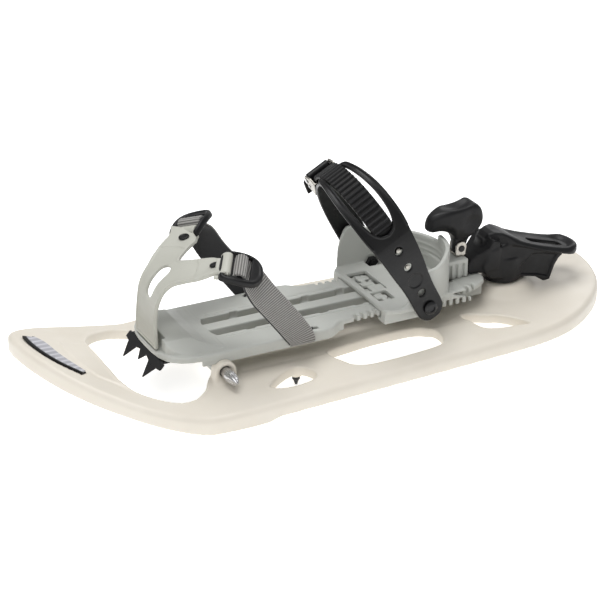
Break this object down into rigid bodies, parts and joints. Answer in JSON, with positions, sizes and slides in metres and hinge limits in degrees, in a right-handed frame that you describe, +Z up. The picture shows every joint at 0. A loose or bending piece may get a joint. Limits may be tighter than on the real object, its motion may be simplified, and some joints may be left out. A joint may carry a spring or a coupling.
{
  "type": "snowshoe",
  "caption": "Moulded snowshoe with a toe-pivoted binding plate, sliding heel cup, ratchet ankle strap, webbing toe straps and a flip-up heel lift.",
  "frame": {"origin": "centre of the bounding box, on the ground under the spike tips", "axes": "+X from tail to toe, +Y to the wearer's left, +Z up"},
  "size_m": [0.5842, 0.213, 0.1801],
  "materials": {
    "deck": "satin moulded",
    "black": "semi-gloss moulded",
    "badge": "printed satin",
    "grey": "satin moulded",
    "harness": "flexible satin",
    "webbing": "woven",
    "steel": "turned",
    "darksteel": "black coated",
    "nickel": "plated"
  },
  "bodies": {
    "deck": {"deck": "deck", "toe_badge_frame": "black", "toe_badge_insert": "badge", "toe_axle": "steel", "spike_front_left": "darksteel", "spike_front_right": "darksteel", "spike_middle_left": "darksteel", "spike_middle_right": "darksteel", "spike_rear_left": "darksteel", "spike_rear_right": "darksteel"},
    "binding": {"binding_plate": "grey", "toe_crampon": "darksteel", "crampon_rivet_left": "steel", "crampon_rivet_right": "steel", "toe_harness": "harness", "harness_rivet_left": "nickel", "harness_rivet_right": "nickel", "toe_buckle_left": "black", "toe_buckle_right": "black", "toe_strap_left": "webbing", "toe_strap_right": "webbing", "heel_lift_pin": "steel"},
    "heel_lift": {"heel_lift": "black"},
    "heel_unit": {"heel_cup": "grey", "ankle_screw_left": "darksteel", "ankle_screw_right": "darksteel", "ankle_nut_left": "darksteel", "ankle_nut_right": "darksteel"},
    "lock_bolt": {"lock_block": "grey", "eye_bolt": "nickel", "lock_lever_pin": "steel"},
    "lock_lever": {"lock_lever": "black"},
    "ankle_strap": {"ankle_strap_left": "black", "ankle_strap_right": "black", "ladder_strap": "black", "ladder_stud": "nickel", "ratchet_frame": "nickel", "ratchet_lever_pin": "steel", "ratchet_pawl_pin": "steel"},
    "ratchet_lever": {"ratchet_lever": "black"},
    "ratchet_pawl": {"ratchet_pawl": "black"}
  },
  "joints": [
    {"name": "binding_pivot", "type": "hinge", "parent": "deck", "child": "binding", "pos_m": [0.1315, -0.0035, 0.032], "axis": [0, 1, 0], "range_deg": [0, 58]},
    {"name": "heel_lift_pivot", "type": "hinge", "parent": "binding", "child": "heel_lift", "pos_m": [-0.1415, -0.0035, 0.056], "axis": [0, 1, 0], "range_deg": [0, 18]},
    {"name": "heel_slide", "type": "slide", "parent": "binding", "child": "heel_unit", "axis": [1, 0, 0], "range_m": [0, 0.03]},
    {"name": "lock_lift", "type": "slide", "parent": "heel_unit", "child": "lock_bolt", "axis": [0, 0, 1], "range_m": [0, 0.0025]},
    {"name": "lock_lever_pivot", "type": "hinge", "parent": "lock_bolt", "child": "lock_lever", "pos_m": [-0.1315, -0.0035, 0.076], "axis": [0, -1, 0], "range_deg": [0, 13]},
    {"name": "ankle_tilt", "type": "hinge", "parent": "heel_unit", "child": "ankle_strap", "pos_m": [-0.0675, -0.0035, 0.053], "axis": [0, 1, 0], "range_deg": [-30, 10]},
    {"name": "ratchet_lever_pivot", "type": "hinge", "parent": "ankle_strap", "child": "ratchet_lever", "pos_m": [-0.01287, -0.05527, 0.15362], "axis": [-0.8788, 0, 0.4772], "range_deg": [0, 50]},
    {"name": "ratchet_pawl_pivot", "type": "hinge", "parent": "ankle_strap", "child": "ratchet_pawl", "pos_m": [-0.01597, -0.05455, 0.14791], "axis": [0.8788, 0, -0.4772], "range_deg": [0, 6]}
  ],
  "couplings": [
    {"joint": "lock_lift", "follows": "lock_lever_pivot", "m_per_rad": 0.011018},
    {"joint": "ratchet_pawl_pivot", "follows": "ratchet_lever_pivot", "ratio": 0.1}
  ]
}
